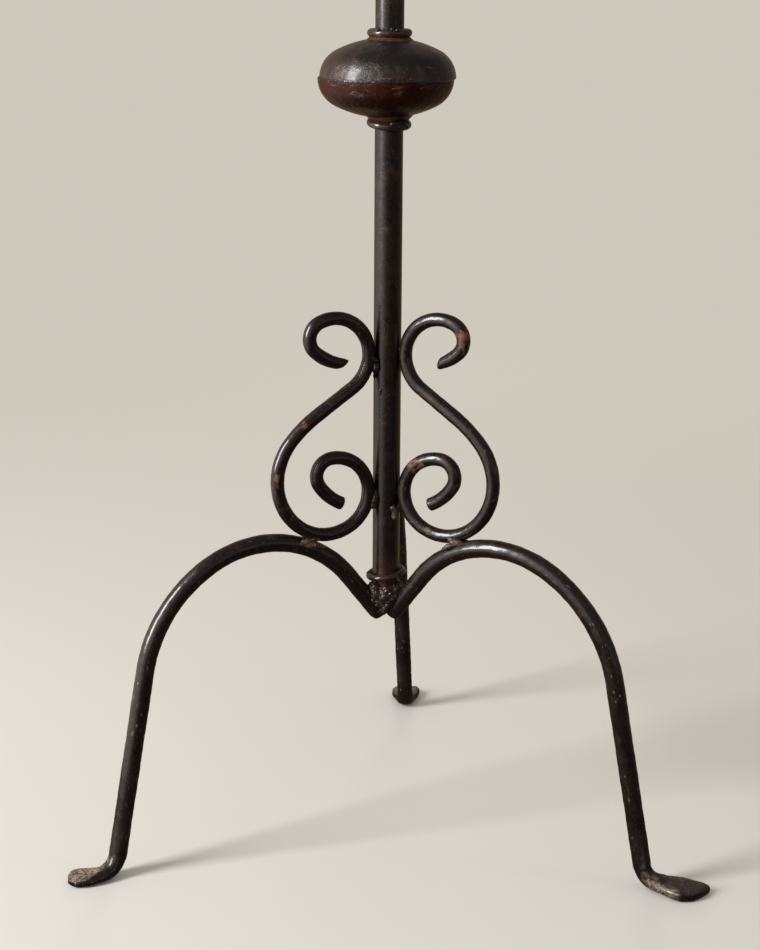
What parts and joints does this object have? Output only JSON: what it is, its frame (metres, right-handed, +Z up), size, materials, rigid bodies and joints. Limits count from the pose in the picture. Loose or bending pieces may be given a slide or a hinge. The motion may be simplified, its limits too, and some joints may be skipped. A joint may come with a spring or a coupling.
{
  "type": "floor candelabrum",
  "caption": "Tall floor candelabrum of round iron bar: a tube stem on arched legs with scrolls, knops on the stem, and a turning crown of scroll arms with drip pans and candle cups.",
  "frame": {"origin": "on the stem's axis at floor level, midway under the three feet", "axes": "+X to the right and -Y to the front as the picture shows it, +Z up along the stem"},
  "size_m": [0.4832, 0.4187, 1.5343],
  "materials": {
    "bar_iron": "dark lacquer over forged bar, satin, worn to brown",
    "tube_iron": "dark lacquer over drawn tube, satin",
    "weld": "lumpy weld under lacquer",
    "rusty_weld": "rusty weld, rough",
    "ring_wire": "dark lacquer over wire",
    "dark_cap": "grey black, mottled, dull",
    "varnished_bowl": "deep red brown varnish, glossy",
    "sheet_iron": "dark lacquer over spun sheet",
    "bare_iron": "bare iron, browned"
  },
  "bodies": {
    "stand": {"stem_tube": "tube_iron", "leg_left": "bar_iron", "leg_right": "bar_iron", "leg_back": "bar_iron", "hub_weld": "weld", "foot_ring": "ring_wire", "scroll_left": "bar_iron", "scroll_right": "bar_iron", "scroll_back": "bar_iron", "scroll_stem_welds": "weld", "scroll_leg_welds": "weld", "knop_cap": "dark_cap", "knop_bowl": "varnished_bowl", "knop_seam": "weld", "knop_collar_above": "rusty_weld", "knop_collar_below": "rusty_weld", "knop_ring_above": "ring_wire", "knop_ring_below": "ring_wire", "top_knop_cap": "dark_cap", "top_knop_bowl": "varnished_bowl", "top_knop_seam": "weld", "top_knop_collar_above": "rusty_weld", "top_knop_collar_below": "rusty_weld", "top_knop_ring_above": "ring_wire", "top_knop_ring_below": "ring_wire"},
    "crown": {"crown_post": "tube_iron", "crown_plug": "bare_iron", "crown_pin": "bare_iron", "crown_ring": "ring_wire", "crown_collar": "rusty_weld", "crown_end_plug": "bare_iron", "arm_left": "bar_iron", "arm_right": "bar_iron", "arm_back": "bar_iron", "arm_welds": "weld", "pan_left": "sheet_iron", "pan_right": "sheet_iron", "pan_back": "sheet_iron", "pan_middle": "sheet_iron", "cup_left": "sheet_iron", "cup_right": "sheet_iron", "cup_back": "sheet_iron", "cup_middle": "sheet_iron", "cup_screws": "bare_iron"}
  },
  "joints": [
    {"name": "crown_turn", "type": "hinge", "parent": "stand", "child": "crown", "pos_m": [0, 0, 1.33], "axis": [0, 0, 1], "continuous": true}
  ]
}
